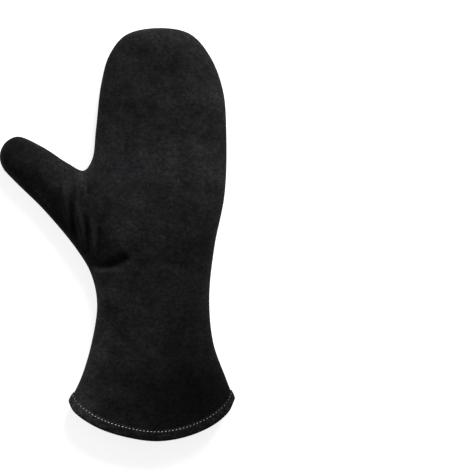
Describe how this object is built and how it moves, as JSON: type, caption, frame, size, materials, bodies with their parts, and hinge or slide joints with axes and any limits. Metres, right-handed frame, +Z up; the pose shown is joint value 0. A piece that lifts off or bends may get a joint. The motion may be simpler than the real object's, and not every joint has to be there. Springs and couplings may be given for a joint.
{
  "type": "fireplace mitten glove",
  "caption": "Long suede fireplace mitten lying palm down, with one thumb, a flared cuff and a stitched binding round its open mouth.",
  "frame": {"origin": "centre of the bounding box, on the surface the mitten lies on", "axes": "+Y from the cuff to the fingertips, +X away from the thumb, +Z up out of the back panel"},
  "size_m": [0.2283, 0.4002, 0.0423],
  "materials": {
    "back_suede": "black brushed suede",
    "palm_suede": "black brushed suede",
    "binding_suede": "black suede strip, folded",
    "hem_thread": "off-white twisted sewing thread"
  },
  "bodies": {
    "root": {"back_panel": "back_suede", "palm_panel": "palm_suede", "hem_binding": "binding_suede"}
  },
  "joints": []
}
